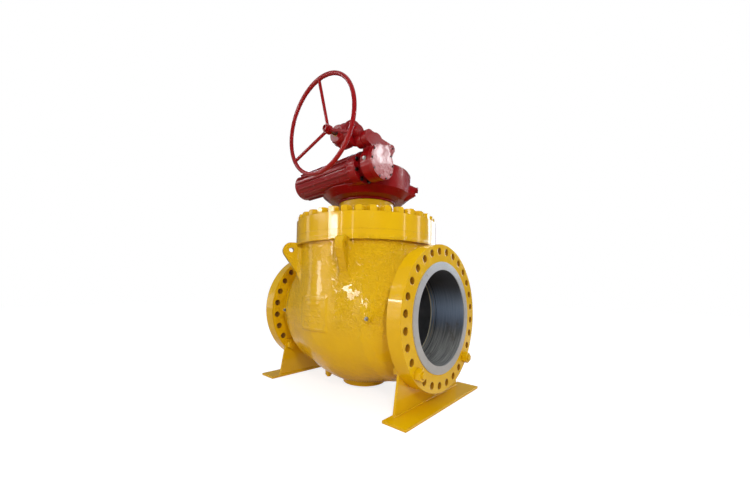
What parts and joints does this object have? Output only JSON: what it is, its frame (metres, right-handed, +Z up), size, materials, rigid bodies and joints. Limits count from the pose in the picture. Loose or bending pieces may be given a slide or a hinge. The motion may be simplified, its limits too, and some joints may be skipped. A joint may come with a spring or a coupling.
{
  "type": "trunnion mounted ball valve with worm gear operator",
  "caption": "Top-entry full-bore flanged ball valve on two feet, with a bolted bonnet, worm and spur gear operator, bevel input and three-spoke handwheel.",
  "frame": {"origin": "centre of the ball, where the pipe axis and the stem axis cross", "axes": "+X along the pipe towards the front flange, +Z up the stem, -Y towards the handwheel"},
  "size_m": [1.7502, 1.4901, 2.463],
  "materials": {
    "yellow_paint": "gloss paint over castings, brushed by hand",
    "red_paint": "gloss paint over castings",
    "machined_steel": "turned and ground",
    "bronze": "turned",
    "seal_rubber": "moulded",
    "seat_polymer": "machined polymer"
  },
  "bodies": {
    "valve_body": {"body": "yellow_paint", "bonnet": "yellow_paint", "bonnet_studs": "yellow_paint", "bonnet_nuts": "yellow_paint", "front_support": "yellow_paint", "rear_support": "yellow_paint", "support_studs": "yellow_paint", "support_nuts": "yellow_paint", "drain_plug": "yellow_paint", "lower_trunnion": "yellow_paint", "gear_adapter": "yellow_paint", "gear_case": "red_paint", "gear_case_cover": "red_paint", "gear_cover_screws": "red_paint", "worm_end_cap": "red_paint", "end_cap_screws": "red_paint", "spur_case": "red_paint", "spur_case_bolts": "red_paint", "spur_cover": "red_paint", "spur_cover_screws": "red_paint", "bevel_case": "red_paint", "sealant_fittings": "machined_steel", "trunnion_screws": "machined_steel", "packing_gland": "machined_steel", "gland_screws": "machined_steel", "front_seat_springs": "machined_steel", "rear_seat_springs": "machined_steel", "adapter_screws": "machined_steel", "gear_case_screws": "machined_steel", "travel_stop_pins": "machined_steel", "worm_bearings": "machined_steel", "idler_pin": "machined_steel", "lower_thrust_washer": "bronze", "upper_bearing": "bronze", "stem_thrust_ring": "bronze", "wheel_bushings": "bronze", "shaft_bushings": "bronze", "bonnet_gasket": "seal_rubber", "stem_packing": "seal_rubber"},
    "ball_and_stem": {"ball": "machined_steel", "stem": "machined_steel", "stem_keys": "machined_steel", "lower_bearing": "bronze", "worm_wheel": "bronze", "wheel_key": "machined_steel", "position_indicator": "red_paint"},
    "worm": {"worm_shaft": "machined_steel", "main_spur_gear": "machined_steel"},
    "idler": {"idler_gear": "machined_steel"},
    "second_gear_shaft": {"second_shaft": "machined_steel"},
    "first_gear_shaft": {"first_shaft": "machined_steel", "driven_bevel_gear": "machined_steel"},
    "handwheel_assembly": {"handwheel": "red_paint", "handwheel_shaft": "machined_steel", "driving_bevel_gear": "machined_steel", "handwheel_nut": "machined_steel"},
    "front_seat": {"front_seat_ring": "machined_steel", "front_seat_insert": "seat_polymer"},
    "rear_seat": {"rear_seat_ring": "machined_steel", "rear_seat_insert": "seat_polymer"}
  },
  "joints": [
    {"name": "stem_turn", "type": "hinge", "parent": "valve_body", "child": "ball_and_stem", "pos_m": [0, 0, 0], "axis": [0, 0, 1], "range_deg": [0, 90]},
    {"name": "worm_spin", "type": "hinge", "parent": "valve_body", "child": "worm", "pos_m": [0, -0.35, 1.207], "axis": [1, 0, 0], "range_deg": [-5400, 0]},
    {"name": "idler_spin", "type": "hinge", "parent": "valve_body", "child": "idler", "pos_m": [0.412, -0.38701, 1.35752], "axis": [1, 0, 0], "range_deg": [0, 11340]},
    {"name": "second_shaft_spin", "type": "hinge", "parent": "valve_body", "child": "second_gear_shaft", "pos_m": [0.412, -0.47027, 1.37462], "axis": [1, 0, 0], "range_deg": [-16200, 0]},
    {"name": "first_shaft_spin", "type": "hinge", "parent": "valve_body", "child": "first_gear_shaft", "pos_m": [0.219, -0.52, 1.421], "axis": [1, 0, 0], "range_deg": [0, 29700]},
    {"name": "handwheel_spin", "type": "hinge", "parent": "valve_body", "child": "handwheel_assembly", "pos_m": [0.219, -0.692, 1.421], "axis": [0, 1, 0], "range_deg": [-29700, 0]},
    {"name": "front_seat_float", "type": "slide", "parent": "valve_body", "child": "front_seat", "axis": [1, 0, 0], "range_m": [0, 0.002], "deforming": ["front_seat_springs"]},
    {"name": "rear_seat_float", "type": "slide", "parent": "valve_body", "child": "rear_seat", "axis": [-1, 0, 0], "range_m": [0, 0.002], "deforming": ["rear_seat_springs"]}
  ],
  "couplings": [
    {"joint": "worm_spin", "follows": "stem_turn", "ratio": -60},
    {"joint": "idler_spin", "follows": "stem_turn", "ratio": 126},
    {"joint": "second_shaft_spin", "follows": "stem_turn", "ratio": -180},
    {"joint": "first_shaft_spin", "follows": "stem_turn", "ratio": 330},
    {"joint": "handwheel_spin", "follows": "stem_turn", "ratio": -330}
  ]
}
